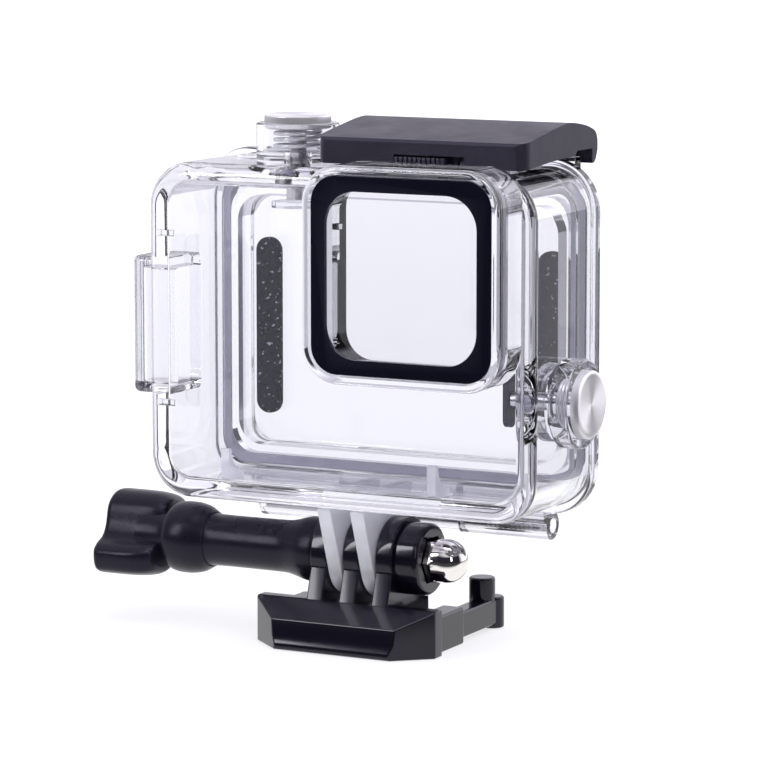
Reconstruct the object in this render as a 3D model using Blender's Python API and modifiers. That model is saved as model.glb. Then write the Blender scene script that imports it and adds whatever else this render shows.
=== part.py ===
"""Clear waterproof housing of an action camera, closed by a back door and a toggle latch, on a buckle.

Lengths are in millimetres. X points right and Y back, as seen from the front, and Z points up. The origin
is the centre of the buckle's flat underside, directly below the tilt pivot. Heights named *_H are measured
from that pivot.
"""

from math import cos, pi, radians, sin, tan

import bmesh
import bpy
from mathutils import Matrix, Vector

MM = 0.001
GAP = 0.3
PIVOT_Z = 15.0

# Housing body
BODY_HALF_WIDTH = 36.3
BODY_BOTTOM_H = 9.2
BODY_TOP_H = 66.7
BODY_FRONT_Y = -12.6
BODY_CORNER_R = 7.5
WALL = 3.0
FLANGE_HALF_WIDTH = 37.2
FLANGE_BOTTOM_H = 7.6
FLANGE_TOP_H = 67.8
FLANGE_FRONT_Y = 10.0
FLANGE_BACK_Y = 12.4

# Lens window
LENS_X = 16.2
LENS_H = 50.1
LENS_TUBE_SIZE = 36.2
LENS_FRAME_SIZE = 32.9
LENS_APERTURE = 27.7
LENS_BORE = 30.2
TUBE_FRONT_Y = -20.9
LENS_SEAT_Y = -16.6
FRONT_WALL_BACK_Y = BODY_FRONT_Y + 2.8
BEHIND_Y = 30

# Back door
DOOR_HALF_WIDTH = 35.8
DOOR_BOTTOM_H = 8.6
DOOR_TOP_H = 66.8
DOOR_FRONT_Y = FLANGE_BACK_Y + GAP
DOOR_BACK_Y = 16.1
DOOR_WALL = 2.0
LIP_BACK_Y = 17.1
PLUG_CLEARANCE = 0.7
PLUG_FRONT_Y = 8.2
PLUG_WIDTH = 3.2
GROOVE_FRONT_Y = 9.0
GROOVE_BACK_Y = 11.8
PAD_X = 26.0
PAD_WIDTH = 4.8
PAD_BOTTOM_H = 21.0
PAD_TOP_H = 52.0
HINGE_Y = 14.0
HINGE_H = 5.0
HINGE_R = 2.5
HINGE_PIN_R = 1.25
HINGE_END_X = 28.0
DOOR_KNUCKLE = (-11.5, 11.2)

# Push buttons
BUTTON_CAP_R = 5.7
BUTTON_BORE_R = 6.05
BUTTON_SHAFT_R = 1.5
BUTTON_HOLE_R = 1.6
BUTTON_GLAND_R = 2.9
SHUTTER_X = -14.1
SHUTTER_Y = 0.9
SHUTTER_COLLAR_R = 7.1
SHUTTER_COLLAR_H = 73.2
SHUTTER_CAP_TOP_H = 74.6
MODE_Y = 1.1
MODE_H = 28.3
MODE_COLLAR_R = 7.5
MODE_COLLAR_X = 39.6
MODE_CAP_FACE_X = 41.0
CAP_THICKNESS = 2.4

# Latch
LATCH_LEFT_X = -5.2
LATCH_RIGHT_X = 33.3
LATCH_SIDE = 1.5
LATCH_EAR_SPAN = (2.0, 26.1)
LATCH_EAR_WIDTH = 2.5
LATCH_LINK_R = 1.5
LATCH_PIN_R = 0.75
LINK_PIVOT = (5.0, 69.0)
LEVER_PIVOT = (-4.5, 69.0)
LOCK_LEFT_X = 9.6
LOCK_WIDTH = 9.4
LOCK_TRAVEL = 3.0

# Mount
FINGER_PITCH = 6.2
FINGER_WIDTH = 3.1
FINGER_R = 7.1
FINGER_LEAN = 20
FINGER_BACK_TRIM = 2.0
CLEAR_FINGER_WIDTH = 2.6
BOLT_R = 2.5
BOLT_HOLE_R = 2.8
BOLT_TIP_X = 15.0
NUT_AF = 8.0
NUT_BOSS_R = 6.2
NUT_BOSS_END_X = 12.0
WING_END_X = -50.7
BUCKLE_HALF_WIDTH = 17.0
BUCKLE_FRONT_Y = -14.3
RAIL_HALF_WIDTH = 15.6


# Scene and materials

def clear_scene():
    for obj in list(bpy.data.objects):
        bpy.data.objects.remove(obj, do_unlink=True)


def make_collection(name):
    collection = bpy.data.collections.new(name)
    bpy.context.scene.collection.children.link(collection)
    return collection


def make_material(name, colour, roughness, metallic=0.0, transmission=0.0):
    material = bpy.data.materials.new(name)
    material.use_nodes = True
    shader = material.node_tree.nodes["Principled BSDF"]
    shader.inputs["Base Color"].default_value = (*colour, 1.0)
    shader.inputs["Roughness"].default_value = roughness
    shader.inputs["Metallic"].default_value = metallic
    shader.inputs["Transmission Weight"].default_value = transmission
    return material


def make_materials():
    return {
        "clear": make_material("clear_polycarbonate", (0.93, 0.93, 0.97), 0.03, transmission=0.95),
        "glass": make_material("window_glass", (0.95, 0.95, 0.98), 0.01, transmission=1.0),
        "black": make_material("black_plastic", (0.022, 0.02, 0.028), 0.38),
        "ink": make_material("black_bezel", (0.008, 0.008, 0.012), 0.2),
        "steel": make_material("brushed_steel", (0.56, 0.55, 0.58), 0.3, metallic=1.0),
        "chrome": make_material("polished_chrome", (0.85, 0.83, 0.82), 0.06, metallic=1.0),
        "rubber": make_material("grey_seal_rubber", (0.2, 0.2, 0.24), 0.6),
        "foam": make_material("dark_foam", (0.03, 0.03, 0.045), 0.95),
    }


# Outlines: lists of (u, v) points, counter-clockwise

def arc(centre, radius, start, end, steps):
    """Points on a circle from start to end, in degrees."""
    angles = [radians(start + (end - start) * i / steps) for i in range(steps + 1)]
    return [(centre[0] + radius * cos(a), centre[1] + radius * sin(a)) for a in angles]


def circle(centre, radius, steps=32):
    return arc(centre, radius, 0, 360 * (steps - 1) / steps, steps - 1)


def rounded_rect(low, high, radius, steps=5):
    (u0, v0), (u1, v1) = low, high
    corners = ((u1, v1, 0), (u0, v1, 90), (u0, v0, 180), (u1, v0, 270))
    points = []
    for u, v, turn in corners:
        centre = (u - radius if u == u1 else u + radius, v - radius if v == v1 else v + radius)
        points += arc(centre, radius, turn, turn + 90, steps)
    return points


def centred_rect(centre, width, height, radius, steps=5):
    low = (centre[0] - width / 2, centre[1] - height / 2)
    high = (centre[0] + width / 2, centre[1] + height / 2)
    return rounded_rect(low, high, radius, steps)


def stadium(start, end, radius, steps=8):
    """A rounded bar round the straight line from start to end."""
    turn = Vector((end[0] - start[0], end[1] - start[1])).angle_signed(Vector((1, 0))) * 180 / pi
    return arc(end, radius, turn - 90, turn + 90, steps) + arc(start, radius, turn + 90, turn + 270, steps)


def at_pivot(points):
    """Moves an outline's heights from the pivot to the buckle's underside."""
    return [(u, v + PIVOT_Z) for u, v in points]


# Solids

class Workshop:
    """Makes solids, and puts parts and helpers in their collections."""

    def __init__(self):
        self.parts = make_collection("action_camera_housing")
        self.helpers = make_collection("cutters")
        self.helpers.hide_render = True
        self.materials = make_materials()

    def prism(self, name, outlines, axis, start, end):
        """Extrudes flat outlines along an axis: (Y, Z) along X, (X, Z) along Y or (X, Y) along Z."""
        curve = bpy.data.curves.new(name, "CURVE")
        curve.dimensions = "2D"
        curve.fill_mode = "BOTH"
        curve.extrude = abs(end - start) / 2 * MM
        for outline in outlines:
            spline = curve.splines.new("POLY")
            spline.points.add(len(outline) - 1)
            for point, (u, v) in zip(spline.points, outline):
                point.co = (u * MM, v * MM, 0, 1)
            spline.use_cyclic_u = True
        obj = bpy.data.objects.new(name, curve)
        self.parts.objects.link(obj)
        middle = (start + end) / 2 * MM
        turns = {
            "X": Matrix(((0, 0, 1, middle), (1, 0, 0, 0), (0, 1, 0, 0), (0, 0, 0, 1))),
            "Y": Matrix(((1, 0, 0, 0), (0, 0, -1, middle), (0, 1, 0, 0), (0, 0, 0, 1))),
            "Z": Matrix.Translation((0, 0, middle)),
        }
        return self.as_mesh(obj, turns[axis])

    def as_mesh(self, curve_obj, turn):
        """Replaces a curve object by a closed mesh object, turned into place."""
        graph = bpy.context.evaluated_depsgraph_get()
        mesh = bpy.data.meshes.new_from_object(curve_obj.evaluated_get(graph))
        name = curve_obj.name
        bpy.data.objects.remove(curve_obj, do_unlink=True)
        shape = bmesh.new()
        shape.from_mesh(mesh)
        bmesh.ops.remove_doubles(shape, verts=shape.verts, dist=0.000001)
        shape.transform(turn)
        bmesh.ops.recalc_face_normals(shape, faces=shape.faces)
        if shape.calc_volume(signed=True) < 0:
            bmesh.ops.reverse_faces(shape, faces=shape.faces)
        shape.to_mesh(mesh)
        shape.free()
        obj = bpy.data.objects.new(name, mesh)
        self.parts.objects.link(obj)
        return obj

    def cylinder(self, name, centre, radius, axis, start, end, steps=32):
        """A round bar along an axis; centre gives the other two coordinates."""
        return self.prism(name, [circle(centre, radius, steps)], axis, start, end)

    def turned(self, name, profile, axis, centre, steps=32):
        """A turned solid: profile is (radius, height) from the top end down, both ends on the axis."""
        mesh = bpy.data.meshes.new(name)
        points = [(radius * MM, 0, height * MM) for radius, height in profile]
        mesh.from_pydata(points, [(i, i + 1) for i in range(len(points) - 1)], [])
        obj = bpy.data.objects.new(name, mesh)
        self.parts.objects.link(obj)
        screw = obj.modifiers.new("turn", "SCREW")
        screw.steps = steps
        screw.render_steps = steps
        screw.use_merge_vertices = True
        screw.merge_threshold = 0.00001
        if axis == "X":
            obj.rotation_euler = (0, pi / 2, 0)
        obj.location = Vector(centre) * MM
        return obj

    def helper(self, obj):
        self.parts.objects.unlink(obj)
        self.helpers.objects.link(obj)
        obj.hide_render = True
        obj.display_type = "WIRE"
        return obj

    def combine(self, obj, other, operation):
        modifier = obj.modifiers.new(other.name, "BOOLEAN")
        modifier.operation = operation
        modifier.solver = "EXACT"
        modifier.object = self.helper(other)
        return obj

    def cut(self, obj, *cutters):
        for cutter in cutters:
            self.combine(obj, cutter, "DIFFERENCE")
        return obj

    def join(self, obj, *others):
        for other in others:
            self.combine(obj, other, "UNION")
        return obj

    def keep_common(self, obj, other):
        return self.combine(obj, other, "INTERSECT")

    def bevel(self, obj, width, segments=2, angle=40):
        modifier = obj.modifiers.new("rounded edges", "BEVEL")
        modifier.width = width * MM
        modifier.segments = segments
        modifier.limit_method = "ANGLE"
        modifier.angle_limit = radians(angle)
        return obj

    def finish(self, obj, material, parent):
        """Gives a part its material, its soft shading and its place in the assembly."""
        obj.data.materials.clear()
        obj.data.materials.append(self.materials[material])
        obj.data.shade_smooth()
        if obj.data.polygons:
            obj.data.set_sharp_from_angle(angle=radians(35))
        obj.parent = parent
        obj.matrix_parent_inverse = parent.matrix_world.inverted()
        return obj

    def pivot(self, name, place, parent=None):
        """An empty at a joint: the pieces under it move together."""
        empty = bpy.data.objects.new(name, None)
        empty.empty_display_size = 0.01
        empty.location = Vector(place) * MM
        self.parts.objects.link(empty)
        if parent:
            empty.parent = parent
            empty.matrix_parent_inverse = parent.matrix_world.inverted()
        bpy.context.view_layer.update()
        return empty


# Housing

def body_rect(half_width, bottom_h, top_h, radius, steps=5):
    return at_pivot(rounded_rect((-half_width, bottom_h), (half_width, top_h), radius, steps))


def inner_rect(margin, radius=4.5, steps=5):
    """The cavity's outline, drawn in from its walls by a margin."""
    inset = WALL + margin
    return body_rect(BODY_HALF_WIDTH - inset, BODY_BOTTOM_H + inset, BODY_TOP_H - inset, radius, steps)


def lens_rect(size, radius):
    return centred_rect((LENS_X, PIVOT_Z + LENS_H), size, size, radius)


def finger_outline():
    """A tongue round the pivot whose front and back lean apart up to the housing's floor."""
    front = -FINGER_R / cos(radians(FINGER_LEAN))
    top = BODY_BOTTOM_H + 1
    spread = top * tan(radians(FINGER_LEAN))
    tip = arc((0, 0), FINGER_R, 180 + FINGER_LEAN, 360 - FINGER_LEAN, 10)
    return at_pivot(tip + [(spread - front - FINGER_BACK_TRIM, top), (front - spread, top)])


def knuckle(shop, name, start, end, foot):
    """A hinge barrel with a foot up to the plate it belongs to; foot is the plate's (front, back) in Y."""
    barrel = shop.cylinder(name, (HINGE_Y, PIVOT_Z + HINGE_H), HINGE_R, "X", start, end, 24)
    top = BODY_BOTTOM_H + 0.6
    outline = at_pivot([(foot[0], top), (foot[0], HINGE_H + 1.2), (foot[1], HINGE_H), (foot[1], top)])
    return shop.join(barrel, shop.prism(name + "_foot", [outline[::-1]], "X", start, end))


def hinge_way(shop):
    return shop.cylinder("hinge_way", (HINGE_Y, PIVOT_Z + HINGE_H), HINGE_PIN_R + 0.08, "X", -40, 40, 24)


def build_front_shell(shop, parent):
    """The body is made longer than it ends up, so that only its front edges are rounded."""
    shell = shop.prism(
        "front_shell", [body_rect(BODY_HALF_WIDTH, BODY_BOTTOM_H, BODY_TOP_H, BODY_CORNER_R)],
        "Y", BODY_FRONT_Y, BEHIND_Y - 5,
    )
    shop.bevel(shell, 2.4, 3, 60)
    flange = shop.prism(
        "flange", [body_rect(FLANGE_HALF_WIDTH, FLANGE_BOTTOM_H, FLANGE_TOP_H, 8.4)],
        "Y", FLANGE_FRONT_Y, FLANGE_BACK_Y,
    )
    tube = shop.prism("lens_tube", [lens_rect(LENS_TUBE_SIZE, 6.4)], "Y", TUBE_FRONT_Y, BODY_FRONT_Y + 1.5)
    side_bump = shop.bevel(
        shop.prism("side_bump", [rounded_rect((-42.3, -8.0), (-34.5, 4.0), 2.0, 3)], "Z",
                   PIVOT_Z + 26.8, PIVOT_Z + 51.6), 1.2, 2, 60,
    )
    shop.join(
        shell, tube, side_bump,
        shop.cylinder("shutter_collar", (SHUTTER_X, SHUTTER_Y), SHUTTER_COLLAR_R, "Z",
                      PIVOT_Z + BODY_TOP_H - 1, PIVOT_Z + SHUTTER_COLLAR_H),
        shop.cylinder("mode_collar", (MODE_Y, PIVOT_Z + MODE_H), MODE_COLLAR_R, "X",
                      BODY_HALF_WIDTH - 1, MODE_COLLAR_X),
    )
    beyond = shop.prism("beyond_flange", [body_rect(60, -30, 100, 1)], "Y", FLANGE_FRONT_Y + 1, BEHIND_Y)
    shop.cut(shell, beyond)
    shop.join(shell, flange)
    shop.cut(
        shell,
        shop.prism("cavity", [inner_rect(0)], "Y", FRONT_WALL_BACK_Y, BEHIND_Y),
        shop.prism("bump_pocket", [rounded_rect((-40.5, -6.2), (-32.0, 2.2), 1.2, 3)], "Z",
                   PIVOT_Z + 28.6, PIVOT_Z + 49.8),
        shop.prism("lens_seat", [lens_rect(LENS_FRAME_SIZE + 2 * GAP, 5.0)], "Y",
                   TUBE_FRONT_Y - 1, LENS_SEAT_Y),
        shop.prism("lens_bore", [lens_rect(LENS_BORE, 5.0)], "Y", TUBE_FRONT_Y, FRONT_WALL_BACK_Y + 0.6),
    )
    cut_button_ways(shop, shell)
    add_mount_fingers(shop, shell)
    add_shell_knuckles(shop, shell)
    add_latch_ears(shop, shell)
    return shop.finish(shell, "clear", parent)


def cut_button_ways(shop, shell):
    """A cap bore, a shaft hole and a seal gland for each push button."""
    top = PIVOT_Z + BODY_TOP_H
    place = (SHUTTER_X, SHUTTER_Y)
    side = (MODE_Y, PIVOT_Z + MODE_H)
    wall_x = BODY_HALF_WIDTH
    shop.cut(
        shell,
        shop.cylinder("shutter_bore", place, BUTTON_BORE_R, "Z", top + 1.8, top + 20),
        shop.cylinder("shutter_hole", place, BUTTON_HOLE_R, "Z", top - 5, top + 5, 24),
        shop.cylinder("shutter_gland", place, BUTTON_GLAND_R, "Z", top - 2.0, top - 0.5, 24),
        shop.cylinder("mode_bore", side, BUTTON_BORE_R, "X", wall_x - 0.3, wall_x + 20),
        shop.cylinder("mode_hole", side, BUTTON_HOLE_R, "X", wall_x - 5, wall_x + 5, 24),
        shop.cylinder("mode_gland", side, BUTTON_GLAND_R, "X", wall_x - 2.4, wall_x - 0.9, 24),
    )


def add_mount_fingers(shop, shell):
    for sign in (-1, 1):
        middle = sign * FINGER_PITCH / 2
        finger = shop.prism(
            "mount_finger", [finger_outline()], "X",
            middle - CLEAR_FINGER_WIDTH / 2, middle + CLEAR_FINGER_WIDTH / 2,
        )
        shop.join(shell, finger)
    shop.cut(shell, shop.cylinder("finger_hole", (0, PIVOT_Z), BOLT_HOLE_R, "X", -8, 8, 28))


def add_shell_knuckles(shop, shell):
    foot = (FLANGE_FRONT_Y + 0.2, FLANGE_BACK_Y - 0.1)
    shop.join(
        shell,
        knuckle(shop, "left_knuckle", -HINGE_END_X, DOOR_KNUCKLE[0] - GAP, foot),
        knuckle(shop, "right_knuckle", DOOR_KNUCKLE[1] + GAP, HINGE_END_X, foot),
    )
    shop.cut(shell, hinge_way(shop))


def ear_spans():
    low, high = LATCH_EAR_SPAN
    return (low, low + LATCH_EAR_WIDTH), (high - LATCH_EAR_WIDTH, high)


def add_latch_ears(shop, shell):
    y, h = LINK_PIVOT
    outline = at_pivot(
        arc((y, h), LATCH_LINK_R, 0, 180, 8) + [(y - 2.4, BODY_TOP_H - 1), (y + 2.4, BODY_TOP_H - 1)]
    )
    for start, end in ear_spans():
        shop.join(shell, shop.prism("latch_ear", [outline], "X", start, end))
    shop.cut(shell, latch_pin_way(shop, LINK_PIVOT))


def latch_pin_way(shop, pivot):
    return shop.cylinder("latch_pin_way", (pivot[0], PIVOT_Z + pivot[1]), LATCH_PIN_R + 0.08, "X", -3, 30, 20)


def latch_pin(shop, name, pivot, parent):
    low, high = LATCH_EAR_SPAN
    pin = shop.cylinder(name, (pivot[0], PIVOT_Z + pivot[1]), LATCH_PIN_R, "X", low - 0.4, high + 0.4, 20)
    return shop.finish(pin, "steel", parent)


def build_window(shop, parent):
    """From the front: black frame, clear window, soft seal, each in the tube's seat."""
    frame = shop.prism("lens_frame", [lens_rect(LENS_FRAME_SIZE, 4.7), lens_rect(LENS_APERTURE, 5.6)],
                       "Y", -20.5, -19.6)
    shop.finish(frame, "ink", parent)
    window = shop.prism("lens_window", [lens_rect(LENS_FRAME_SIZE, 4.7)], "Y", -19.3, -17.7)
    shop.finish(window, "glass", parent)
    seal = shop.prism("lens_seal", [lens_rect(LENS_FRAME_SIZE, 4.7), lens_rect(LENS_BORE + 0.2, 4.9)],
                      "Y", -17.5, LENS_SEAT_Y - 0.15)
    shop.finish(seal, "rubber", parent)


def build_hinge_pin(shop, parent):
    pin = shop.cylinder("hinge_pin", (HINGE_Y, PIVOT_Z + HINGE_H), HINGE_PIN_R, "X",
                        -HINGE_END_X + 1, HINGE_END_X - 1, 24)
    shop.finish(pin, "steel", parent)


# Back door

def build_door(shop, parent):
    door = shop.prism("door_shell", [body_rect(DOOR_HALF_WIDTH, DOOR_BOTTOM_H, DOOR_TOP_H, 8.0)],
                      "Y", DOOR_FRONT_Y - 6, DOOR_BACK_Y)
    shop.bevel(door, 2.6, 3, 60)
    shop.cut(door, shop.prism("before_door", [body_rect(60, -30, 100, 1)], "Y", -20, DOOR_FRONT_Y))
    ways = (
        (PLUG_FRONT_Y, GROOVE_FRONT_Y, PLUG_CLEARANCE),
        (GROOVE_FRONT_Y - 0.2, GROOVE_BACK_Y + 0.2, PLUG_CLEARANCE + 1.6),
        (GROOVE_BACK_Y, DOOR_FRONT_Y + 0.5, PLUG_CLEARANCE),
    )
    for start, end, margin in ways:
        shop.join(door, shop.prism("plug_ring", [inner_rect(margin)], "Y", start, end))
    catch = [(DOOR_BACK_Y, 64.0), (LIP_BACK_Y, 65.4), (LIP_BACK_Y, 67.9)]
    lip_outline = at_pivot([(14.0, 64.0)] + catch + [(14.6, 67.9)])
    shop.join(door, shop.prism("hook_lip", [lip_outline], "X", -3.4, 31.4))
    shop.cut(door, shop.prism("door_pocket", [inner_rect(PLUG_CLEARANCE + PLUG_WIDTH)],
                              "Y", PLUG_FRONT_Y - 1, DOOR_BACK_Y - DOOR_WALL))
    foot = (DOOR_FRONT_Y, DOOR_BACK_Y - 0.6)
    shop.join(door, knuckle(shop, "door_knuckle", *DOOR_KNUCKLE, foot))
    shop.cut(door, hinge_way(shop))
    shop.finish(door, "clear", parent)


def build_door_trim(shop, parent):
    gasket = shop.prism(
        "door_gasket", [inner_rect(GAP), inner_rect(PLUG_CLEARANCE + 1.6 - GAP)],
        "Y", GROOVE_FRONT_Y + GAP, GROOVE_BACK_Y - GAP,
    )
    shop.finish(gasket, "rubber", parent)
    back = DOOR_BACK_Y - DOOR_WALL - GAP
    for name, side in (("foam_pad_left", -1), ("foam_pad_right", 1)):
        low = (side * PAD_X - PAD_WIDTH / 2, PAD_BOTTOM_H)
        high = (side * PAD_X + PAD_WIDTH / 2, PAD_TOP_H)
        outline = at_pivot(rounded_rect(low, high, PAD_WIDTH / 2 - 0.1, 4))
        shop.finish(shop.prism(name, [outline], "Y", back - 1.3, back), "foam", parent)


# Push buttons: each is made pointing up at the origin's axis, then set in its place

def coil(shop, name, radius, wire, height, turns, steps=14):
    """A compression spring with its base at height 0."""
    curve = bpy.data.curves.new(name, "CURVE")
    curve.dimensions = "3D"
    curve.bevel_depth = wire * MM
    curve.bevel_resolution = 0
    curve.use_fill_caps = True
    spline = curve.splines.new("POLY")
    count = int(turns * steps)
    spline.points.add(count)
    for i, point in enumerate(spline.points):
        angle = 2 * pi * i / steps
        rise = wire + (height - 2 * wire) * i / count
        point.co = (radius * MM * cos(angle), radius * MM * sin(angle), rise * MM, 1)
    obj = bpy.data.objects.new(name, curve)
    shop.parts.objects.link(obj)
    return shop.as_mesh(obj, Matrix.Identity(4))


def build_button(shop, prefix, build, parent, housing):
    """build gives the axis at the outer wall, the turn that points +Z outwards, and heights along it."""
    frame = Matrix.Translation(Vector(build["place"]) * MM) @ build["turn"]

    def put(obj, material, owner=parent):
        obj.data.transform(frame)
        shop.finish(obj, material, owner)

    cap_bottom = build["cap_top"] - CAP_THICKNESS
    cap = shop.cylinder(prefix + "_cap", (0, 0), BUTTON_CAP_R, "Z", cap_bottom, build["cap_top"])
    socket_top = cap_bottom + 1.2
    socket = shop.cylinder("cap_socket", (0, 0), BUTTON_SHAFT_R + GAP, "Z", cap_bottom - 1, socket_top, 24)
    socket.data.transform(frame)
    shop.cut(cap, socket)
    put(cap, "steel")
    shaft_low = -WALL - build["reach"]
    shaft = shop.cylinder(prefix + "_shaft", (0, 0), BUTTON_SHAFT_R, "Z", shaft_low, cap_bottom + 0.9, 24)
    put(shaft, "steel")
    seat = build["seat"] + 0.15
    spring = coil(shop, prefix + "_spring", 3.9, 0.35, cap_bottom - seat - 0.15, 2.5)
    spring.data.transform(Matrix.Translation((0, 0, seat * MM)))
    put(spring, "steel")
    clip_outline = arc((0, 0), 3.1, 30, 330, 14) + arc((0, 0), BUTTON_SHAFT_R + 0.2, 330, 30, 14)
    put(shop.prism(prefix + "_clip", [clip_outline], "Z", -WALL - 1.1, -WALL - 0.4), "steel")
    plate = shop.prism(prefix + "_plate", [build["plate"]], "Z", shaft_low - 1.3, shaft_low - GAP)
    put(plate, "black")
    rings = [circle((0, 0), BUTTON_GLAND_R - 0.2, 24), circle((0, 0), BUTTON_SHAFT_R + 0.2, 24)]
    seal = shop.prism(prefix + "_seal", rings, "Z", build["seal_low"], build["seal_low"] + 1.1)
    put(seal, "rubber", housing)


# Latch

def lever_top():
    """The latch's outer top line in (Y, height), front to back."""
    front = [(-8.9, 71.8), (-2.6, 72.8), (2.0, 73.5), (6.0, 74.0), (9.3, 74.1)]
    back = [(14.2, 73.45), (17.5, 72.6), (18.9, 71.8), (19.5, 70.6)]
    return front + back


def build_lever(shop, parent):
    hook = [(19.5, 69.0), (18.9, 67.6), (18.2, 66.9), (17.4, 66.8), (17.4, 69.3), (11.2, 69.3)]
    under = [(10.4, 68.5), (4.8, 68.4), (-0.8, 68.1), (-9.2, 67.4), (-9.3, 71.3)]
    outline = at_pivot((hook + under)[::-1] + lever_top()[::-1])
    lever = shop.prism("latch_lever", [outline], "X", LATCH_LEFT_X, LATCH_RIGHT_X)
    shop.bevel(lever, 0.5, 1, 50)
    skin = 1.5
    ceiling = [(y, h - skin) for y, h in lever_top() if -8 < y < 15]
    back = (15.9, ceiling[-1][1] - 0.4)
    front = (-7.7, ceiling[0][1] - 0.5)
    room = at_pivot([(-7.7, 60), (15.9, 60), back] + ceiling[::-1] + [front])
    left, right = LATCH_LEFT_X + LATCH_SIDE, LATCH_RIGHT_X - LATCH_SIDE
    shop.cut(lever, shop.prism("lever_room", [room], "X", left, right))
    y, h = LEVER_PIVOT
    ear = at_pivot(arc((y, h), LATCH_LINK_R, 180, 360, 8) + [(y + 1.8, h + 2.6), (y - 1.8, h + 2.6)])
    for start, end in ear_spans():
        shop.join(lever, shop.prism("lever_ear", [ear], "X", start, end))
    notch = shop.prism("lock_notch", [at_pivot([(-12, 60), (-7, 60), (-7, 69.3), (-12, 69.3)])], "X",
                       LOCK_LEFT_X - GAP, LOCK_LEFT_X + LOCK_WIDTH + LOCK_TRAVEL + GAP)
    shop.cut(lever, notch, latch_pin_way(shop, LEVER_PIVOT))
    shop.finish(lever, "black", parent)


def build_link(shop, parent):
    (_, left), (right, _) = ear_spans()
    outline = at_pivot(stadium(LEVER_PIVOT, LINK_PIVOT, LATCH_LINK_R))
    link = shop.prism("latch_link", [outline], "X", left + GAP, right - GAP)
    shop.cut(link, latch_pin_way(shop, LINK_PIVOT), latch_pin_way(shop, LEVER_PIVOT))
    shop.finish(link, "black", parent)


def build_lock(shop, parent):
    """The sliding lock: a thumb pad before the lever's front wall, a neck in the notch, a plate behind."""
    left, right = LOCK_LEFT_X, LOCK_LEFT_X + LOCK_WIDTH
    pad_outline = at_pivot([(-9.8, 67.6), (-6.9, 67.6), (-6.9, 69.0), (-9.8, 69.0)])
    pad = shop.prism("lock_slider", [pad_outline], "X", left, right)
    plate_outline = at_pivot([(-7.4, 67.3), (-6.5, 67.3), (-6.5, 70.0), (-7.4, 70.0)])
    plate = shop.prism("lock_plate", [plate_outline], "X", left - 1.2, right + 1.2)
    shop.join(pad, plate)
    shop.finish(pad, "black", parent)


# Mount

def build_buckle(shop, parent):
    front, side = BUCKLE_FRONT_Y, BUCKLE_HALF_WIDTH
    plan = [(-side, -8.9), (-10.8, front), (10.8, front), (side, -8.9), (side, 5.0), (-side, 5.0)]
    lip = [(front + 0.9, 5.1), (front + 0.8, 2.3), (front, 1.4), (front, 0)]
    wedge = lip + [(-6.2, 0), (-6.2, 8.0), (-8.5, 8.0)]
    buckle = shop.prism("buckle", [wedge], "X", -side - 2, side + 2)
    shop.keep_common(buckle, shop.prism("buckle_plan", [plan], "Z", -1, 12))
    floor_outline = rounded_rect((-RAIL_HALF_WIDTH, -7.2), (RAIL_HALF_WIDTH, 5.2), 0.8, 2)
    shop.join(buckle, shop.prism("buckle_floor", [floor_outline], "Z", 0, 4.0))
    for sign in (-1, 1):
        add_buckle_side(shop, buckle, sign)
    finger_foot = at_pivot(arc((0, 0), FINGER_R, 0, 195, 13) + [(-10.2, 2.5 - PIVOT_Z), (7.4, 2.5 - PIVOT_Z)])
    for middle in (-FINGER_PITCH, 0, FINGER_PITCH):
        left, right = middle - FINGER_WIDTH / 2, middle + FINGER_WIDTH / 2
        shop.join(buckle, shop.prism("buckle_finger", [finger_foot], "X", left, right))
    outer = FINGER_PITCH + FINGER_WIDTH / 2
    nut_r = NUT_AF / 2 / cos(pi / 6)
    boss = shop.cylinder("nut_boss", (0, PIVOT_Z), NUT_BOSS_R, "X", outer - 0.5, NUT_BOSS_END_X, 28)
    shop.join(buckle, boss)
    shop.cut(
        buckle,
        shop.cylinder("buckle_bolt_way", (0, PIVOT_Z), BOLT_HOLE_R, "X", -20, 20, 28),
        shop.cylinder("nut_pocket", (0, PIVOT_Z), nut_r + 0.4, "X", outer + 1.0, outer + 10, 6),
    )
    shop.finish(buckle, "black", parent)


def add_buckle_side(shop, buckle, sign):
    """A guide rail, and behind it a spring arm with its catch and its thumb tab."""
    low, high = sorted((sign * RAIL_HALF_WIDTH, sign * (RAIL_HALF_WIDTH - 4.2)))
    rail = shop.prism("rail", [rounded_rect((low, -8.0), (high, 5.2), 0.6, 2)], "Z", 0, 6.3)
    low, high = sorted((sign * 15.2, sign * 11.8))
    arm = shop.prism("spring_arm", [rounded_rect((low, 3.0), (high, 20.0), 0.6, 2)], "Z", 0.8, 5.3)
    catch = shop.cylinder("catch", (sign * 13.7, 20.0), 2.1, "Z", 0, 5.5, 20)
    tab = shop.cylinder("thumb_tab", (sign * 12.9, 17.6), 2.3, "Z", 4.0, 9.2, 20)
    shop.join(buckle, rail, arm, catch, tab)


def build_nut(shop, parent):
    start = FINGER_PITCH + FINGER_WIDTH / 2 + 1.3
    nut = shop.cylinder("acorn_nut", (0, PIVOT_Z), NUT_AF / 2 / cos(pi / 6), "X", start, start + 5.0, 6)
    dome_r = 3.75
    dome = [(0, start + 9.4)] + [
        (dome_r * sin(radians(a)), start + 9.4 - dome_r * (1 - cos(radians(a)))) for a in range(15, 91, 15)
    ] + [(dome_r, start + 4.0), (0, start + 4.0)]
    shop.join(nut, shop.turned("nut_dome", dome, "X", (0, 0, PIVOT_Z), 28))
    shop.cut(nut, shop.cylinder("nut_bore", (0, PIVOT_Z), BOLT_R + 0.15, "X", start - 5, start + 6.2, 28))
    shop.finish(nut, "chrome", parent)


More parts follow.
